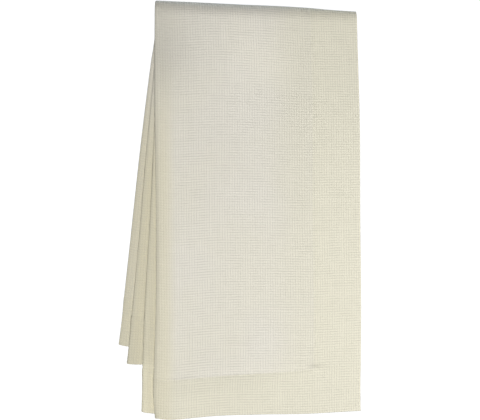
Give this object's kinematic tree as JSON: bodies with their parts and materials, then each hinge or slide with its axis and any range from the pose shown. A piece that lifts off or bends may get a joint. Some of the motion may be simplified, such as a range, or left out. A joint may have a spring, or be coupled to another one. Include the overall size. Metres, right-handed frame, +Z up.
{
  "type": "folded tablecloth",
  "caption": "Square ivory linen tablecloth with deep mitred hems, folded lengthwise and hung over an unseen bar, its back layers fanned out to the left.",
  "frame": {"origin": "axis of the bar that the cloth hangs over, at the middle of the folded width; the bar itself is not part of the row", "axes": "+X along the bar to the right, seen from the front; -Y out of the front panel; +Z up"},
  "size_m": [0.2867, 0.0346, 0.4856],
  "materials": {
    "linen": "matt ivory basket-weave linen with a faint sheen"
  },
  "bodies": {
    "root": {"tablecloth": "linen"}
  },
  "joints": []
}
